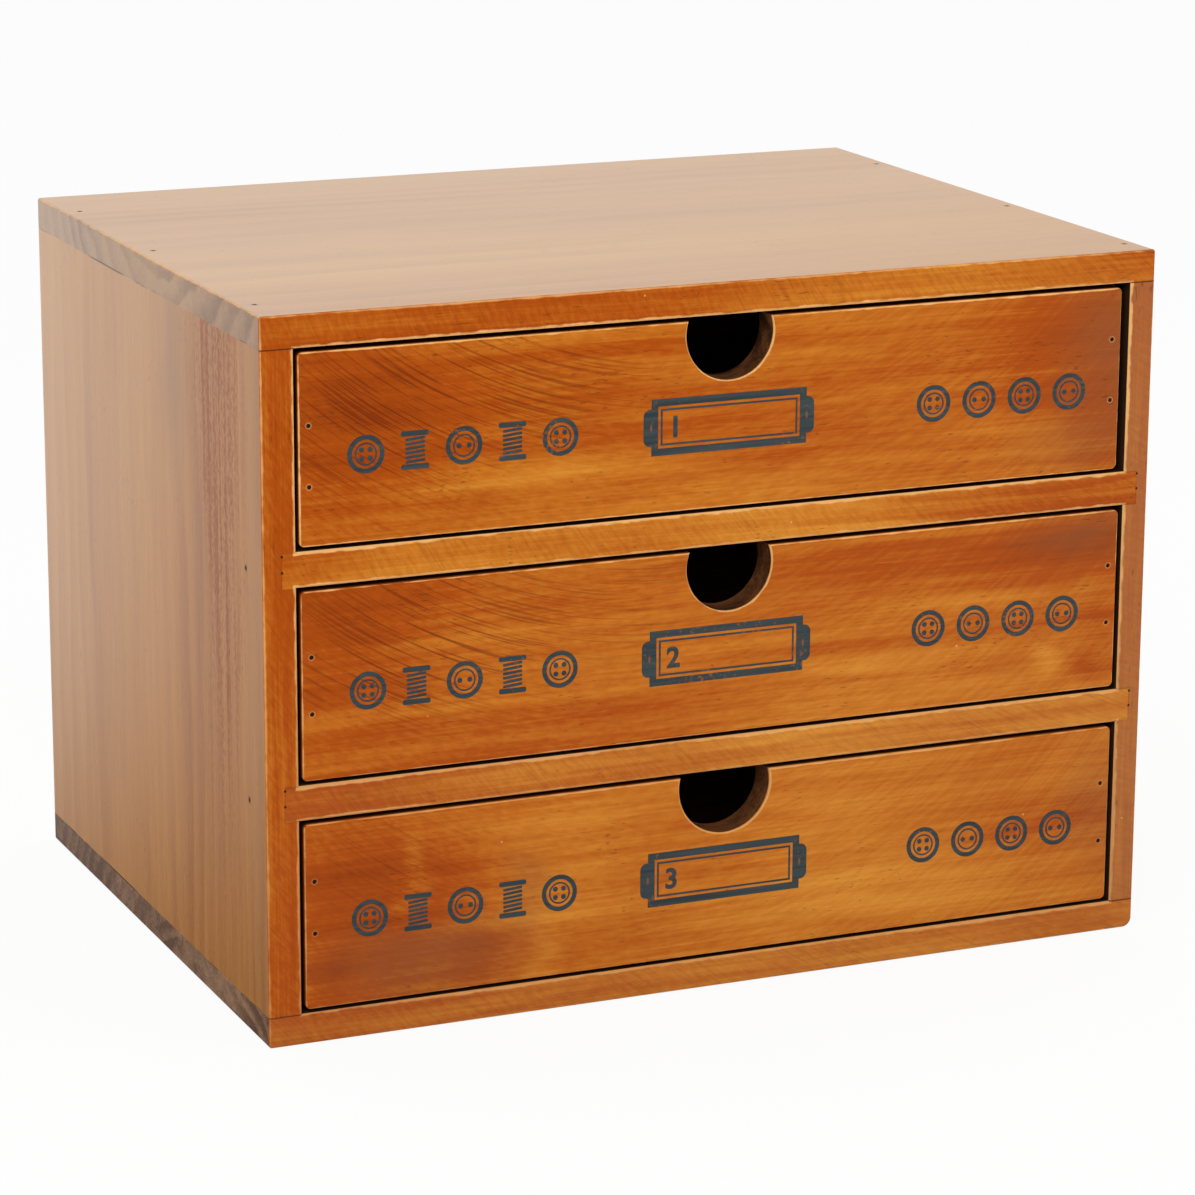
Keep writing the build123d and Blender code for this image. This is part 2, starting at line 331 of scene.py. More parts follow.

# Painted highlight rings round the brads of the drawers' fronts, and dark stain round those seen in
# the top and the left side. Each brad of a front lies as far in from its end as the inset.
brad_inset = 3.5 * MM
brad_highlight_outer = 1.35 * MM
brad_highlight_inner = 0.9 * MM
smudge_radius = 1.9 * MM
smudge_core = 0.6 * MM
smudge_darkness = 0.55


class Board(Finish):
    """Pine with its fibres along one axis: rings about a pith, streaks, fibres, pores and specks.

    The pith's two places and the gap between rings are in mm. Wear is the least at the case's foot.
    """

    def __init__(self, name, along, pith, ring_gap, seed, figure=1.0):
        super().__init__(name)
        self.along = along
        self.seed = seed
        across = [axis for axis in (X, Y, Z) if axis != along]
        drift = self.field(16.0, 3.0, along, seed, detail=3.0) - 0.5
        ring = self.hypot(*[self.place[axis] - centre * MM for axis, centre in zip(across, pith)])
        turn = self.maths("FRACT", (ring + drift * ring_wander) / (ring_gap * MM))
        shown = self.smooth(self.field(20.0, 2.5, along, seed + 9, detail=1.0), 0.40, 0.64)
        self.arcs = self.smooth(turn, 0.05, 0.8) * self.smooth(turn, 1.0, 0.82)
        self.rings = self.arcs * shown
        streaks = self.field(170.0, 4.5, along, seed + 1, detail=3.0, roughness=0.6)
        self.streaks = self.smooth(streaks, 0.25, 0.75)
        self.fibres = self.smooth(self.field(1100.0, 32.0, along, seed + 2), 0.3, 0.7)
        dashes = self.field(1500.0, 330.0, along, seed + 3, detail=0.0)
        crowd = self.field(42.0, 42.0, along, seed + 4, detail=1.0)
        self.pores = self.smooth(dashes + crowd * 0.40, 1.0, 1.06)
        self.mottle = self.smooth(self.field(560.0, 380.0, along, seed + 5, detail=3.0), 0.25, 0.75)
        self.wear = self.smooth(self.place[Z], worn_foot, worn_top, 0.50, 1.0)
        self.tone = (
            drift * 0.55 * figure
            + (self.streaks - 0.5) * 0.17
            + (self.fibres - 0.5) * 0.12
            + (self.mottle - 0.5) * 0.05
            - self.rings * 0.15 * figure
        )
        warp = (self.field(60.0, 22.0, along, seed + 6) - 0.5) * patch_wander
        shift = self.vector(warp, warp, warp)
        self.loose_point = self.add(
            "ShaderNodeVectorMath", {"operation": "ADD"}, {0: self.point, 1: shift}
        )

    def specks(self, density, size):
        """Small round flecks, scattered in some of the cells of a Voronoi pattern."""
        sockets = {"Vector": self.point, "Scale": density}
        cells = self.add("ShaderNodeTexVoronoi", {}, sockets, output=None)
        distance = Wire(self, cells.outputs["Distance"])
        pick = self.add("ShaderNodeSeparateColor", {}, {0: Wire(self, cells.outputs["Color"])})
        radius = size * MM * density
        return self.smooth(distance, radius, radius * 0.5) * self.smooth(pick, 0.70, 0.74)

    def saw_noise(self, centre, across, along, shift, detail):
        """Noise drawn out along the arcs of a saw's rim, about a far centre in mm."""
        x, _, z = self.place
        reach = self.hypot(x - centre[0] * MM, z - centre[1] * MM)
        return self.noise(self.vector(reach * across, (x - z) * along, self.seed + shift), detail)

    def saw_marks(self, centre):
        """Thin dark arcs that a saw left on the front."""
        fine = self.saw_noise(centre, 1150.0, 16.0, 0.0, 1.0)
        bold = self.saw_noise(centre, 900.0, 9.0, 5.0, 0.0)
        return self.greater(self.smooth(fine, 0.55, 0.63) * 0.90, self.smooth(bold, 0.68, 0.73) * 0.40)

    def front_gloss(self):
        """The sheen of the front: none at its top left, towards its foot and its right more."""
        x, _, z = self.place
        return self.clamped(x * 0.8 - z * 1.3 + 0.325)

    def stained_tone(self, centre):
        """The tone of a stained front: long soft bands, and short faint strokes along the saw's arcs."""
        strokes = self.smooth(self.saw_noise(centre, 620.0, 150.0, 8.0, 3.0), 0.3, 0.7)
        bands = self.smooth(self.field(75.0, 6.0, self.along, self.seed + 10), 0.3, 0.7)
        soft = self.smooth(self.field(230.0, 14.0, self.along, self.seed + 14), 0.3, 0.7)
        return self.tone + (strokes - 0.5) * 0.12 + (bands - 0.5) * 0.13 + (soft - 0.5) * 0.10

    def outer_edge(self, centre, half):
        """How far a point on a box is from the box's nearest edge."""
        gaps = [half[axis] - abs(self.place[axis] - centre[axis]) for axis in (X, Y, Z)]
        least = self.lesser(gaps[0], gaps[1])
        return self.greater(least, self.lesser(self.greater(gaps[0], gaps[1]), gaps[2]))

    def rubbed(self, distance, width):
        """Where an edge has lost its stain: near it, broken up along its length."""
        patchy = self.field(170.0, 170.0, X, self.seed + 7, detail=3.0)
        slow = self.field(14.0, 14.0, X, self.seed + 13, detail=1.0)
        reach = distance / (width * MM) + (patchy - 0.5) * 1.7 + (slow - 0.5) * 1.3
        return self.smooth(reach, 1.15, 0.35) * self.wear

    def smudged(self, axes, places):
        """Dark stain round brads driven through a face, at places along two axes."""
        total = 0.0
        for first, second in places:
            reach = self.hypot(self.place[axes[0]] - first, self.place[axes[1]] - second)
            total = self.smooth(reach, smudge_radius, smudge_core) * smudge_darkness + total
        return total

    def brad_highlight_rings(self, places):
        """Painted highlight rings, in the colour of worn wood, round the holes of brads driven from the
        front.
        """
        x, _, z = self.place
        total = 0.0
        for across, up in places:
            reach = self.hypot(x - across, z - up)
            total = self.smooth(reach, brad_highlight_outer, brad_highlight_inner) + total
        return total * self.wear

    def relief(self):
        """How far the grain stands out: fibres and fine lumps, less the pores."""
        return self.fibres * 0.40 + self.mottle * 0.35 - self.pores * 0.8

    def finish(self, colour, worn, dark, constants, coat, rough=0.40):
        """Lay pores, specks, wear with any painted highlights, and dark joints, stain and painted shade
        over a colour, and close the finish.
        """
        colour = self.mix(self.pores * pore_amount, colour, pore_colour)
        specks = self.specks(speck_density, speck_size) * speck_amount
        colour = self.mix(specks, colour, worn_colour)
        colour = self.mix(worn, colour, worn_colour)
        colour = self.mix(dark, colour, joint_stain_and_shade_colour)
        return self.close(constants, self.relief(), grain_relief, **{
            "Base Color": colour,
            "Roughness": rough + self.streaks * 0.08 + worn * 0.12 + dark * 0.35,
            "Coat Weight": coat,
        })

    def bare(self, tone, constants, rough):
        """Close the finish as unstained wood."""
        colour = self.mix(self.pores * 0.5, self.ramp(self.tone * 1.7 + tone, raw_stops), pore_colour)
        return self.close(constants, self.relief(), grain_relief, **{
            "Base Color": colour, "Roughness": rough + self.streaks * 0.08})


front_lacquer = {"Specular IOR Level": 0.06, "Coat Roughness": 0.30}
plain_wood = {"Specular IOR Level": 0.25}


def front_masks(board):
    """Masks that all boards of the case share, from the places of the openings and the joints."""
    x, y, z = board.place
    level = board.maths("ROUND", (z - first_opening) / opening_pitch)
    level = board.lesser(board.greater(level, 0.0), 2.0)
    rise = abs(z - first_opening - level * opening_pitch)
    aside = abs(x - opening_middle)
    opening = board.greater(aside - opening_half_width, rise - opening_half_height)
    facing = board.smooth(y, front_plane + stain_depth, front_plane + stain_depth * 0.75)
    rim = board.rubbed(opening, opening_edge_wear) * facing
    inward = board.smooth(opening, line_core, 0.0) * (1.0 - facing)
    shade = board.smooth(y, front_plane + shade_end, front_plane + shade_start)
    rail_level = board.maths("ROUND", (z - middle_rail_centre) / opening_pitch)
    rail_level = board.lesser(board.greater(rail_level, 0.0), 1.0)
    rail_rise = abs(z - middle_rail_centre - rail_level * opening_pitch) - rail_half_height
    rail_box = board.greater(abs(x - rail_middle) - rail_half_length, rail_rise)
    beyond = board.smooth(aside, opening_half_width - 0.3 * MM, opening_half_width + 0.1 * MM)
    broken = board.field(60.0, 60.0, X, board.seed + 8, detail=3.0)
    rail_joint = board.smooth(abs(rail_box), joint_line, line_core) * beyond * facing
    rail_joint = rail_joint * board.smooth(broken, 0.38, 0.60)
    seams = board.lesser(abs(z - top_joint), abs(z - bottom_joint))
    seam = board.smooth(seams, seam_line, line_core) * beyond
    split = board.smooth(abs(y - crack_middle), crack_half_length, crack_core)
    split = split * board.smooth(x, 0.0, -1 * MM)
    cracked = board.greater(board.smooth(broken, 0.56, 0.66) * 0.75, split * 0.9)
    seam = seam * (facing * (0.45 + broken * 0.6) + (1.0 - facing) * cracked)
    return {
        "facing": facing,
        "rim": rim,
        "inward": inward,
        "shade": shade,
        "joint": board.greater(rail_joint * 0.30, seam),
        "ends": board.smooth(cad_half.x - abs(x), 0.5 * MM, 0.15 * MM),
    }


case_saw_centre = (300.0, 420.0)


def case_board(
    node, along, pith, ring_gap, seed, tone, stain_and_light_patches, outside, sheen, dull=0.0, smudges=None
):
    """A board of the case: orange on its front edge, another tone outside, raw pine inside, with painted
    shade on its inner faces just inside the openings.

    The stain and light patches are soft patches on its front edge, part stain and part painted light
    and shade where the light falls off along it. The smudges are two axes and the brads' places.
    """
    board = Board(node + "_pine", along, pith, ring_gap, seed)
    masks = front_masks(board)
    edge = board.outer_edge(cad_centre, cad_half)
    # Soft patches on the front edge: stain, and painted light and shade where the light falls off along
    # it.
    tone = board.stained_tone(case_saw_centre) + tone + board.spots(board.loose_point, (X, Z), stain_and_light_patches)
    on_front = board.ramp(tone, stain_stops)
    on_front = board.mix(board.saw_marks(case_saw_centre) * 0.16, on_front, saw_colour)
    if dull:
        on_front = board.mix(dull, on_front, dull_colour)
    raw = board.ramp(board.tone + 0.6, raw_stops)
    colour = board.mix(masks["facing"], outside(board, masks), on_front)
    colour = board.mix(masks["inward"], colour, raw)
    worn = board.greater(board.rubbed(edge, case_edge_wear) * 0.6, masks["rim"])
    worn = worn * (1.0 - masks["inward"])
    # Painted shade on the inner faces just inside the openings, with the dark joints and brad smudges.
    dark = board.greater(masks["inward"] * masks["shade"] * 0.97, masks["joint"])
    if smudges:
        dark = board.greater(dark, board.smudged(*smudges))
    coat = sheen(board, masks) * (1.0 - masks["facing"]) + board.front_gloss() * masks["facing"]
    paint(node, board.finish(colour, worn, dark, front_lacquer, coat))


# What a board of the case shows outside, and how much it shines. Each takes the board and its masks.
def top_outside(board, masks):
    """The top board: honey-coloured, with brown end grain."""
    front = board.smooth(board.place[Y], -30 * MM, -120 * MM)
    flat = board.ramp(board.tone * 0.6 + 0.64 + warm_side(board) * 0.05 - front * 0.05, honey_stops)
    rear = board.smooth(board.place[Y], -70 * MM, -20 * MM)
    ends = board.ramp(board.arcs * 0.16 - board.tone * 1.2 + 0.26 - rear * 0.24, end_stops)
    return board.mix(masks["ends"], flat, ends)


def foot_outside(board, masks):
    """The bottom board: browner, and darker still at its ends."""
    flat = board.ramp(board.tone * 0.6 + 0.40, honey_stops)
    back = board.smooth(board.place[Y], -60 * MM, 20 * MM)
    ends = board.ramp(board.arcs * 0.10 - board.tone * 2.2 + 0.56 + back * 0.24, end_stops)
    return board.mix(masks["ends"], flat, ends)


def warm_side(board):
    """0 at the top's back left, towards 1 at its front right."""
    x, y, _ = board.place
    return board.clamped((x - y) * 1.6 + 0.2)


def side_fade(board):
    """Falls from the back's top corner to the front's foot, about 0."""
    _, y, z = board.place
    return y + (z - cad_centre.z) * 0.9


def side_outside(board, masks):
    """A side board: honey-brown with soft stripes, its colour painted darker to the front and lighter
    towards its back top as a painted sheen.
    """
    # Painted sheen: the colour lighter towards the board's back top.
    painted_sheen_lift = board.greater(side_fade(board), 0.0) * 0.75
    return board.ramp(board.tone * 0.75 + 0.61 + board.place[Y] * 0.45 + painted_sheen_lift, side_stops)


def torn_patch(board):
    """A torn patch down the front of the left side board, made of short upright flecks."""
    patch = board.clamped(board.spots(board.loose_point, (Y, Z), (
        (-80.0, 215.0, 38.0, 80.0, 1.4),
        (-86.0, 150.0, 30.0, 85.0, 1.1),
        (-82.0, 85.0, 30.0, 75.0, 0.6),
    )))
    fine = board.field(700.0, 480.0, Z, board.seed + 11, detail=3.0)
    wide = board.field(290.0, 7.0, Z, board.seed + 12, detail=2.0)
    flecks = board.smooth(fine * 0.55 + wide * 0.6 + patch * 0.04, 0.52, 0.76)
    return patch * (flecks * 0.85 + 0.12)


def torn_outside(board, masks):
    """The left side board: redder where it is torn, greyer behind that and along the front."""
    board.torn = torn_patch(board)
    greyed = board.spots(board.loose_point, (Y, Z), ((-36.0, 215.0, 26.0, 55.0, 0.5),))
    greyed = greyed + board.smooth(board.place[Y], -100 * MM, -122 * MM) * 0.25
    colour = board.mix(greyed, side_outside(board, masks), greyed_colour)
    return board.mix(board.torn, colour, torn_colour)


def torn_sheen(board, masks):
    """The left side board's sheen: less where it is torn."""
    return side_sheen(board, masks) * (1.0 - board.torn * 0.6)


def top_sheen(board, masks):
    """The top board's sheen: less on its end grain, and less towards its front right."""
    rear = board.smooth(board.place[Y], -30 * MM, 110 * MM, 0.42, 0.85)
    return (1.0 - masks["ends"] * (1.0 - rear)) * (1.0 - warm_side(board) * 0.3)


def side_sheen(board, masks):
    """A side board's sheen: the most at its top and back."""
    return board.smooth(side_fade(board), -0.12, 0.20, 0.40, 1.0)


def low_sheen(board, masks):
    """The sheen of the bottom board and the rails, which is the same all over."""
    return 0.15


def paint(node, material):
    """Give a node its finish."""
    slots = nodes[node].data.materials
    slots.clear()
    slots.append(material)


top_brads = [(left_board_middle, y * MM) for y in (-104.0, 3.0, 90.0)]
top_brads += [(right_board_middle, y * MM) for y in (-111.0, -25.0, 81.0)]
rail_brad_y = front_plane + 17 * MM
rail_brad_z = middle_rail_centre - 2 * MM
left_rail_brads = [(rail_brad_y, rail_brad_z + level * opening_pitch) for level in (0, 1)]

case_board(
    "top_board",
    along=X,
    pith=(-25.0, 300.0),
    ring_gap=12.0,
    seed=1.0,
    tone=0.46,
    stain_and_light_patches=((85.0, 243.0, 110.0, 200.0, 0.24),),
    outside=top_outside,
    sheen=top_sheen,
    smudges=((X, Y), top_brads),
)
case_board(
    "bottom_board",
    along=X,
    pith=(-60.0, -90.0),
    ring_gap=8.0,
    seed=2.0,
    tone=0.75,
    stain_and_light_patches=(
        (-140.0, 5.0, 80.0, 90.0, -0.20),
        (135.0, 5.0, 75.0, 90.0, -0.28),
        (10.0, 5.0, 40.0, 90.0, 0.08),
    ),
    outside=foot_outside,
    sheen=low_sheen,
    dull=0.15,
)
case_board(
    "left_side_board",
    along=Z,
    pith=(-260.0, 30.0),
    ring_gap=9.0,
    seed=3.0,
    tone=0.48,
    stain_and_light_patches=((-160.0, 40.0, 200.0, 80.0, -0.14),),
    outside=torn_outside,
    sheen=torn_sheen,
    smudges=((Y, Z), left_rail_brads),
)
case_board(
    "right_side_board",
    along=Z,
    pith=(250.0, -40.0),
    ring_gap=9.0,
    seed=4.0,
    tone=0.54,
    stain_and_light_patches=((160.0, 235.0, 200.0, 60.0, -0.16),),
    outside=side_outside,
    sheen=side_sheen,
    dull=0.45,
)
case_board(
    "middle_drawer_rail",
    along=X,
    pith=(-150.0, 20.0),
    ring_gap=7.0,
    seed=5.0,
    tone=0.71,
    stain_and_light_patches=((-140.0, 84.0, 90.0, 90.0, -0.32), (35.0, 84.0, 65.0, 90.0, 0.24)),
    outside=side_outside,
    sheen=low_sheen,
    dull=0.1,
)
case_board(
    "upper_drawer_rail",
    along=X,
    pith=(-160.0, 240.0),
    ring_gap=7.0,
    seed=6.0,
    tone=0.64,
    stain_and_light_patches=(
        (-155.0, 164.0, 40.0, 90.0, -0.22),
        (30.0, 164.0, 80.0, 90.0, 0.20),
        (140.0, 164.0, 30.0, 90.0, -0.06),
    ),
    outside=side_outside,
    sheen=low_sheen,
)


def drawer_front(drawer, notch_place, brads, seed, pith, tone, stain_and_light_patches, dull, saw_zone, saw_centre):
    """A drawer's front: stained face, worn edges and notch rim, painted gap shade on its sides, raw back.

    The notch is its centre's x, its depth under the front's top and its radius, in mm. Each brad is
    0 at the left end or 1 at the right, and its height in mm, and gets a painted highlight ring. The
    stain and light patches, the dull patches and the sawn zone are soft oval spots; the stain and light
    patches are part stain and part painted light and shade where the light falls off across the front.
    """
    low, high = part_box(drawer + "_drawer_front")
    centre = (low + high) / 2
    half = (high - low) / 2
    board = Board(drawer + "_front_pine", X, pith, 10.0, seed)
    x, y, z = board.place
    skin = board.smooth(y, low.y + stain_depth, low.y + stain_depth * 0.6)
    notch_x, notch_drop, notch_radius = notch_place
    notch = board.hypot(x - notch_x * MM, z - (high.z - notch_drop * MM))
    notch = abs(notch - notch_radius * MM)
    wall = board.smooth(notch, 0.5 * MM, 0.2 * MM)
    back = board.smooth(y, high.y - raw_back_depth, high.y - raw_back_depth * 0.25) * (1.0 - wall)
    edge = board.lesser(board.outer_edge(centre, half), notch)
    # Soft patches on the front: stain, and painted light and shade where the light falls off across it.
    tone = board.stained_tone(saw_centre) + tone + board.spots(board.loose_point, (X, Z), stain_and_light_patches)
    colour = board.ramp(tone, stain_stops)
    zone = board.clamped(board.spots(board.loose_point, (X, Z), saw_zone))
    colour = board.mix(board.saw_marks(saw_centre) * zone * 0.80, colour, saw_colour)
    grey = board.clamped(board.spots(board.loose_point, (X, Z), dull))
    colour = board.mix(grey * 0.55, colour, grey_stain)
    colour = board.mix(wall * (1.0 - skin), colour, board.ramp(board.tone * 1.6 + 0.5, notch_stops))
    colour = board.mix(back, colour, board.ramp(board.tone + 0.6, raw_stops))
    ends = (low.x + brad_inset, high.x - brad_inset)
    brad_highlights = board.brad_highlight_rings([(ends[side], up * MM) for side, up in brads])
    # The worn edges, with the painted highlights round the brads laid on in the worn colour.
    worn = board.greater(board.rubbed(edge, drawer_edge_wear), brad_highlights * 0.35) * skin
    # Painted gap shade on the front's top, foot and ends: darkest a few mm behind the face, lighter right
    # at the face and fading to a third by 8 mm in.
    painted_gap_shade = 0.35 + board.smooth(y, low.y + 8.0 * MM, low.y + 3.5 * MM) * 0.60
    painted_gap_shade = painted_gap_shade * board.smooth(y, low.y + 0.8 * MM, low.y + 2.2 * MM, 0.6, 1.0)
    dark = (1.0 - skin) * (1.0 - back) * (1.0 - wall) * painted_gap_shade
    gloss = board.front_gloss() * skin
    paint(drawer + "_drawer_front", board.finish(colour, worn, dark, front_lacquer, gloss))


drawer_front(
    "upper",
    notch_place=(1.7, 4.9, 16.1),
    brads=((0, 191.3), (0, 211.7), (1, 196.3), (1, 217.9)),
    seed=10.0,
    pith=(-40.0, 120.0),
    tone=0.55,
    stain_and_light_patches=(
        (-135.0, 215.0, 65.0, 48.0, -0.40),
        (-60.0, 185.0, 90.0, 14.0, 0.14),
        (30.0, 182.0, 150.0, 12.0, 0.12),
        (135.0, 215.0, 55.0, 40.0, -0.26),
        (150.0, 185.0, 30.0, 30.0, -0.20),
    ),
    dull=((148.0, 215.0, 34.0, 44.0, 0.9), (135.0, 182.0, 40.0, 16.0, 0.5)),
    saw_zone=((-120.0, 215.0, 70.0, 55.0, 1.0), (-60.0, 220.0, 60.0, 40.0, 0.7)),
    saw_centre=(-10.0, 385.0),
)
drawer_front(
    "middle",
    notch_place=(2.4, 5.8, 15.9),
    brads=((0, 114.6), (0, 134.0), (1, 115.6), (1, 136.4)),
    seed=11.0,
    pith=(-30.0, 60.0),
    tone=0.57,
    stain_and_light_patches=(
        (-140.0, 140.0, 60.0, 45.0, -0.36),
        (60.0, 100.0, 110.0, 16.0, 0.18),
        (135.0, 145.0, 50.0, 25.0, -0.24),
        (126.0, 104.0, 8.0, 13.0, 0.26),
        (141.0, 100.0, 10.0, 12.0, -0.20),
        (151.0, 120.0, 14.0, 40.0, -0.14),
    ),
    dull=((140.0, 150.0, 40.0, 18.0, 0.8),),
    saw_zone=((-110.0, 135.0, 80.0, 45.0, 1.0), (-40.0, 140.0, 50.0, 35.0, 0.5)),
    saw_centre=(-20.0, 310.0),
)
drawer_front(
    "lower",
    notch_place=(1.6, 4.1, 17.1),
    brads=((0, 38.6), (0, 56.8), (1, 34.4), (1, 56.0)),
    seed=12.0,
    pith=(-50.0, -60.0),
    tone=0.57,
    stain_and_light_patches=(
        (-130.0, 45.0, 60.0, 50.0, -0.40),
        (-94.0, 22.0, 18.0, 14.0, -0.20),
        (-145.0, 20.0, 12.0, 14.0, -0.20),
        (-113.0, 56.0, 9.0, 22.0, 0.26),
        (-66.0, 20.0, 12.0, 22.0, 0.20),
        (-56.0, 50.0, 40.0, 36.0, 0.14),
        (50.0, 45.0, 90.0, 45.0, 0.24),
        (60.0, 22.0, 100.0, 16.0, 0.14),
    ),
    dull=(
        (-110.0, 24.0, 60.0, 22.0, 0.9),
        (-72.0, 45.0, 14.0, 26.0, 0.5),
        (148.0, 50.0, 20.0, 40.0, 0.5),
    ),
    saw_zone=((-120.0, 60.0, 60.0, 30.0, 0.4),),
    saw_centre=(-20.0, 220.0),
)


def inner_pine(name, along, pith, seed):
    """Unstained pine of the drawers' insides."""
    board = Board(name, along, pith, 8.0, seed, figure=0.8)
    return board.bare(0.55, plain_wood, 0.6)


side_pine = inner_pine("drawer_side_pine", Y, (60.0, -80.0), 30.0)
cross_pine = inner_pine("drawer_back_pine", X, (60.0, -80.0), 31.0)
for node in nodes:
    if node.endswith(("_left_side", "_right_side", "_runner")):
        paint(node, side_pine)
    elif node.endswith("_drawer_back"):
        paint(node, cross_pine)


def plywood(name, along, seed):
    """Thin birch plywood with faint cathedral figure."""
    board = Board(name, along, (40.0, -300.0), 14.0, seed, figure=0.6)
    return board.bare(0.68, plain_wood, 0.65)


bottom_plywood = plywood("drawer_bottom_plywood", X, 40.0)
back_plywood = plywood("back_panel_plywood", Z, 41.0)
for node in nodes:
    if node.endswith("_drawer_bottom"):
        paint(node, bottom_plywood)
paint("back_panel", back_plywood)


def brad_steel():
    """Dull iron of the brads and pins, browned with stain."""
    steel = Finish("brad_iron")
    rust = steel.field(1500.0, 1500.0, X, 50.0, detail=3.0)
    colour = steel.ramp(rust, ((0.3, (0.012, 0.010, 0.009)), (0.7, (0.05, 0.025, 0.014))))
    constants = {"Metallic": 0.4}
    return steel.close(constants, rust, 0.03 * MM, **{
        "Base Color": colour, "Roughness": rust * 0.4 + 0.4})


iron = brad_steel()
for node in nodes:
    if node.endswith(("_brads", "_pins")):
        paint(node, iron)


# --- Printed marks ---------------------------------------------------------------------------
ink_rise = 0.04 * MM
ink_sink = 0.02 * MM
ink_colour = (0.030, 0.043, 0.046)
ink_glint = (0.055, 0.072, 0.075)
ink_rubbed_colour = (0.34, 0.10, 0.02)
ear_oval = (0.6, 1.9)
ear_oval_aside = 28.9
label_middle = 1.6


def ink(drawer, seed, label_z):
    """Slate ink, thin where it is rubbed, with a bare oval at each end of the label."""
    finish = Finish(drawer + "_ink")
    worn = finish.field(700.0, 700.0, X, seed, detail=4.0, roughness=0.7)
    thin = finish.field(55.0, 55.0, X, seed + 1)
    bare = finish.smooth(worn + thin * 0.5, 0.86, 0.98)
    ovals = finish.clamped(finish.spots(finish.point, (X, Z), [
        (label_middle + side * ear_oval_aside, label_z, *ear_oval, 1.6) for side in (-1, 1)
    ]))
    fibres = finish.field(1000.0, 28.0, X, seed + 2)
    colour = finish.ramp(fibres, ((0.3, ink_colour), (0.75, ink_glint)))
    colour = finish.mix(finish.greater(bare * 0.6, ovals * 0.6), colour, ink_rubbed_colour)
    constants = {"Specular IOR Level": 0.25}
    return finish.close(constants, worn, 0.03 * MM, **{
        "Base Color": colour, "Roughness": worn * 0.3 + 0.45})


def along_y(edge):
    """Whether an edge runs through the ink, from its back to its face."""
    return abs((edge.verts[0].co - edge.verts[1].co).normalized().y) > 0.9


def printed_ring(built, x, z, outer, inner):
    """A flat ring: its small profile spun about the front's normal."""
    corners = [(inner, -ink_rise), (outer, -ink_rise), (outer, ink_sink), (inner, ink_sink)]
    verts = [built.verts.new((x + reach, depth, z)) for reach, depth in corners]
    edges = [built.edges.new((verts[i], verts[i - 1])) for i in range(4)]
    bmesh.ops.spin(
        built, geom=verts + edges, cent=(x, 0, z), axis=(0, 1, 0), angle=math.tau, steps=40, use_merge=True
    )


def printed_dot(built, x, z, radius):
    """A flat round dot."""
    middle = Matrix.Translation((x, (ink_sink - ink_rise) / 2, z))
    bmesh.ops.create_cone(
        built, cap_ends=True, segments=20, radius1=radius, radius2=radius, depth=ink_rise + ink_sink,
        matrix=middle @ Matrix.Rotation(math.pi / 2, 4, "X"),
    )


def printed_bar(built, x, z, width, height, corner=0.0, tilt=0.0):
    """A flat bar, its corners rounded where a radius is given."""
    place = Matrix.Translation((x, (ink_sink - ink_rise) / 2, z)) @ Matrix.Rotation(tilt, 4, "Y")
    size = Matrix.Diagonal((width, ink_rise + ink_sink, height, 1))
    made = bmesh.ops.create_cube(built, size=1.0, matrix=place @ size)
    if corner:
        upright = {edge for vert in made["verts"] for edge in vert.link_edges}
        upright = [edge for edge in upright if along_y(edge)]
        bmesh.ops.bevel(
            built, geom=upright, offset=corner, segments=5, profile=0.5, affect="EDGES", material=-1,
            clamp_overlap=True,
        )


def printed_ear(built, x, z, side):
    """A flat tab at one end of the label, rounded on its outer side."""
    place = Matrix.Translation((x, (ink_sink - ink_rise) / 2, z))
    size = Matrix.Diagonal((ear_reach, ink_rise + ink_sink, ear_height, 1))
    made = bmesh.ops.create_cube(built, size=1.0, matrix=place @ size)
    outer = {edge for vert in made["verts"] for edge in vert.link_edges}
    outer = [
        edge for edge in outer
        if along_y(edge) and all((vert.co.x - x) * side > 0 for vert in edge.verts)
    ]
    bmesh.ops.bevel(
        built, geom=outer, offset=ear_corner, segments=6, profile=0.5, affect="EDGES", material=-1,
        clamp_overlap=True,
    )


def printed_frame(built, x, z, width, height, border):
    """A flat rectangular frame: a face inset, its middle taken out and the rest thickened."""
    lie = Matrix.Translation((x, -ink_rise, z)) @ Matrix.Rotation(math.pi / 2, 4, "X")
    made = bmesh.ops.create_grid(
        built, x_segments=1, y_segments=1, size=0.5, matrix=lie @ Matrix.Diagonal((width, height, 1, 1))
    )
    face = made["verts"][0].link_faces[0]
    border_faces = bmesh.ops.inset_region(
        built, faces=[face], thickness=border, use_boundary=True, use_even_offset=True
    )["faces"]
    bmesh.ops.delete(built, geom=[face], context="FACES")
    bmesh.ops.solidify(built, geom=border_faces, thickness=ink_rise + ink_sink)


def printed_button(built, x, z, size, holes):
    """A button in outline: a thick rim, a thin ring and its holes."""
    radius = size / 2
    printed_ring(built, x, z, radius, radius * 0.75)
    printed_ring(built, x, z, radius * 0.60, radius * 0.51)
    spread = radius * 0.23
    places = ((-1, -1), (1, -1), (-1, 1), (1, 1)) if holes == 4 else ((-1.2, 0), (1.2, 0))
    for side, rise in places:
        printed_dot(built, x + side * spread, z + rise * spread, radius * 0.14)


def printed_spool(built, x, z, size):
    """A reel of thread seen from the side: two flanges and slanting turns."""
    for rise in (-1, 1):
        printed_bar(built, x, z + rise * size * 0.43, size * 0.76, size * 0.14, corner=size * 0.05)
    turns = 6
    for turn in range(turns):
        rise = (turn - (turns - 1) / 2) * size * 0.115
        printed_bar(
            built, x, z + rise, size * 0.54, size * 0.075, corner=size * 0.03, tilt=math.radians(-5)
        )


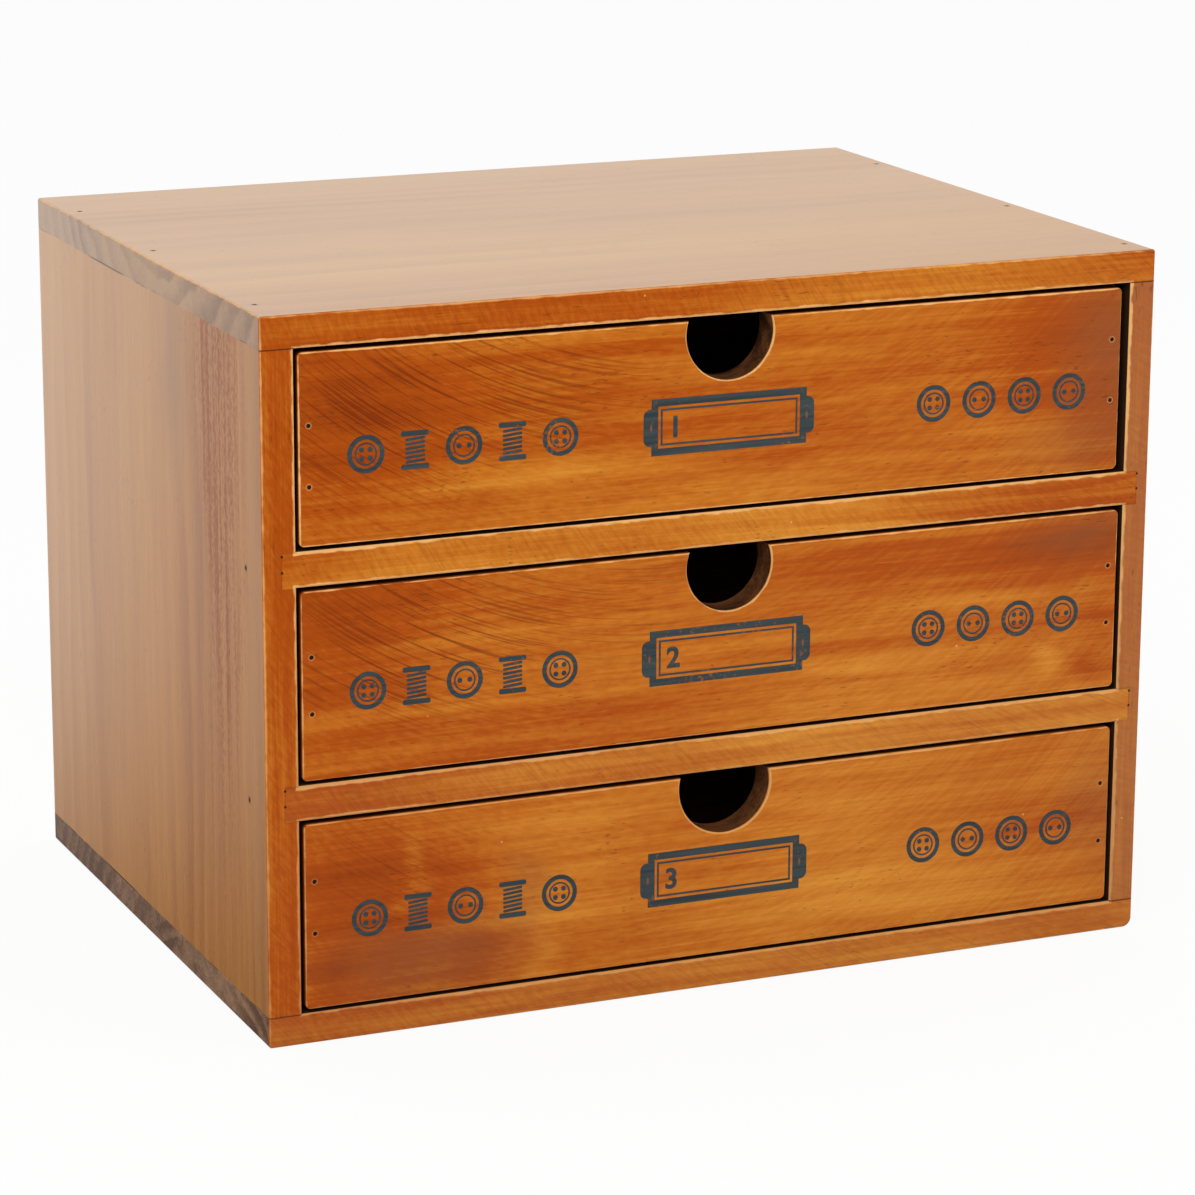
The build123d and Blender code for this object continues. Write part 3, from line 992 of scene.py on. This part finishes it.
def printed_number(built, x, z, height, text):
    """A plain figure."""
    data = bpy.data.curves.new("figure", "FONT")
    data.body = text
    data.size = height / 0.7
    data.extrude = (ink_rise + ink_sink) / 2
    data.align_x = "CENTER"
    data.offset = 0.32 * MM
    data.resolution_u = 6
    source = bpy.data.objects.new("figure", data)
    bpy.context.scene.collection.objects.link(source)
    mesh = bpy.data.meshes.new_from_object(source)
    place = Matrix.Translation((x, (ink_sink - ink_rise) / 2, z - height / 2))
    mesh.transform(place @ Matrix.Rotation(math.pi / 2, 4, "X"))
    built.from_mesh(mesh)
    bpy.data.objects.remove(source)
    bpy.data.meshes.remove(mesh)


def print_piece(name, drawer, built, material):
    """Turn printed shapes into a piece that rides on its drawer."""
    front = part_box(drawer + "_drawer_front")[0].y
    bmesh.ops.remove_doubles(built, verts=built.verts, dist=0.001 * MM)
    bmesh.ops.recalc_face_normals(built, faces=built.faces)
    bmesh.ops.translate(built, verts=built.verts, vec=(0, front, 0))
    mesh = bpy.data.meshes.new(name)
    built.to_mesh(mesh)
    built.free()
    mesh.materials.append(material)
    piece = bpy.data.objects.new(name, mesh)
    bpy.context.scene.collection.objects.link(piece)
    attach(piece, drawer + "_drawer")


label_width = 57.6 * MM
label_height = 19.4 * MM
label_border = 2.5 * MM
ear_reach = 2.9 * MM
ear_height = 12.75 * MM
ear_corner = 2.4 * MM
line_gap = 0.9 * MM
line_width = 0.7 * MM
number_height = 7.0 * MM
number_aside = 20.0 * MM
picture_size = 13.0 * MM
left_row_start = -129.0 * MM
left_row_step = 17.2 * MM
right_row_start = 79.0 * MM
right_row_step = 17.67 * MM


def print_marks(drawer, number, seed, label_z, row_z):
    """A label frame with its number, buttons and reels to its left and buttons to its right."""
    material = ink(drawer, seed, label_z)
    label_x = label_middle * MM
    label_z = label_z * MM
    row_z = row_z * MM
    label = bmesh.new()
    printed_frame(label, label_x, label_z, label_width, label_height, label_border)
    inset = label_border + line_gap
    printed_frame(
        label, label_x, label_z, label_width - 2 * inset, label_height - 2 * inset, line_width
    )
    for side in (-1, 1):
        printed_ear(label, label_x + side * (label_width + ear_reach) / 2, label_z, side)
    printed_number(label, label_x - number_aside, label_z, number_height, number)
    print_piece(drawer + "_label_print", drawer, label, material)
    left = bmesh.new()
    for place in range(5):
        x = left_row_start + place * left_row_step
        if place % 2:
            printed_spool(left, x, row_z, picture_size)
        else:
            printed_button(left, x, row_z, picture_size, 2 if place == 2 else 4)
    print_piece(drawer + "_reels_print", drawer, left, material)
    right = bmesh.new()
    for place in range(4):
        x = right_row_start + place * right_row_step
        printed_button(right, x, row_z, picture_size, 2 if place % 2 else 4)
    print_piece(drawer + "_buttons_print", drawer, right, material)


print_marks("upper", "1", 60.0, 200.8, 200.7)
print_marks("middle", "2", 61.0, 120.6, 120.7)
print_marks("lower", "3", 62.0, 41.6, 41.6)


# --- Studio ---------------------------------------------------------------------------------
front_sky = 0.12
back_sky = 0.95
lamp_size = 1.6
floor_radius = 12.0
floor_drop = 0.3 * MM
floor_white = (0.92, 0.92, 0.92)
floor_mirrored = (0.04, 0.04, 0.04)
white = (1.0, 1.0, 1.0, 1.0)


def pale_floor():
    """A pale floor that shows white and mirrors darkly in front of the case."""
    built = bmesh.new()
    under = Matrix.Translation((0, 0, -floor_drop))
    bmesh.ops.create_circle(built, cap_ends=True, segments=96, radius=floor_radius, matrix=under)
    mesh = bpy.data.meshes.new("floor")
    built.to_mesh(mesh)
    built.free()
    floor = bpy.data.objects.new("floor", mesh)
    bpy.context.scene.collection.objects.link(floor)
    pale = Finish("pale_floor")
    path = pale.add("ShaderNodeLightPath", output=None)
    seen = Wire(pale, path.outputs["Is Camera Ray"])
    mirrored = Wire(pale, path.outputs["Is Glossy Ray"])
    behind = pale.smooth(pale.place[Y], -0.15, 0.55)
    card = pale.mix(mirrored * (1.0 - behind), floor_white, floor_mirrored)
    plain = pale.add("ShaderNodeBsdfDiffuse", {}, {"Color": card})
    glow = pale.add("ShaderNodeEmission")
    share = seen * 0.92 + mirrored * behind * 0.9
    surface = pale.add("ShaderNodeMixShader", {}, {0: share, 1: plain, 2: glow})
    pale.add("ShaderNodeOutputMaterial", {}, {"Surface": surface}, output=None)
    pale.material.cycles.emission_sampling = "NONE"
    mesh.materials.append(pale.material)


def surround():
    """A white backdrop, with dim light from the front and bright light from behind."""
    world = bpy.data.worlds.new("studio")
    bpy.context.scene.world = world
    sky = Nodes(world)
    way = sky.add("ShaderNodeTexCoord", output="Generated")
    depth = sky.add("ShaderNodeSeparateXYZ", {}, {0: way}, output=Y)
    glow = sky.smooth(depth, -0.6, 0.3, front_sky, back_sky)
    light = sky.add("ShaderNodeBackground", {}, {"Color": white, "Strength": glow})
    backdrop = sky.add("ShaderNodeBackground", {}, {"Color": white, "Strength": 1.0})
    seen = sky.add("ShaderNodeLightPath", output="Is Camera Ray")
    surface = sky.add("ShaderNodeMixShader", {}, {0: seen, 1: light, 2: backdrop})
    sky.add("ShaderNodeOutputWorld", {}, {"Surface": surface}, output=None)


def soft_lamp(name, place, power):
    """A round lamp that points at the case and isn't mirrored in it."""
    data = bpy.data.lights.new(name, "AREA")
    data.shape = "DISK"
    data.size = lamp_size
    data.energy = power
    lamp = bpy.data.objects.new(name, data)
    lamp.location = place
    lamp.rotation_euler = (cad_centre - Vector(place)).to_track_quat("-Z", "Y").to_euler()
    lamp.visible_glossy = False
    bpy.context.scene.collection.objects.link(lamp)


place_camera()
pale_floor()
surround()
soft_lamp("key_lamp", (-1.2, -1.8, 1.8), 38.0)
soft_lamp("fill_lamp", (1.5, -1.7, 1.1), 18.0)
bpy.context.scene.view_settings.view_transform = "Standard"
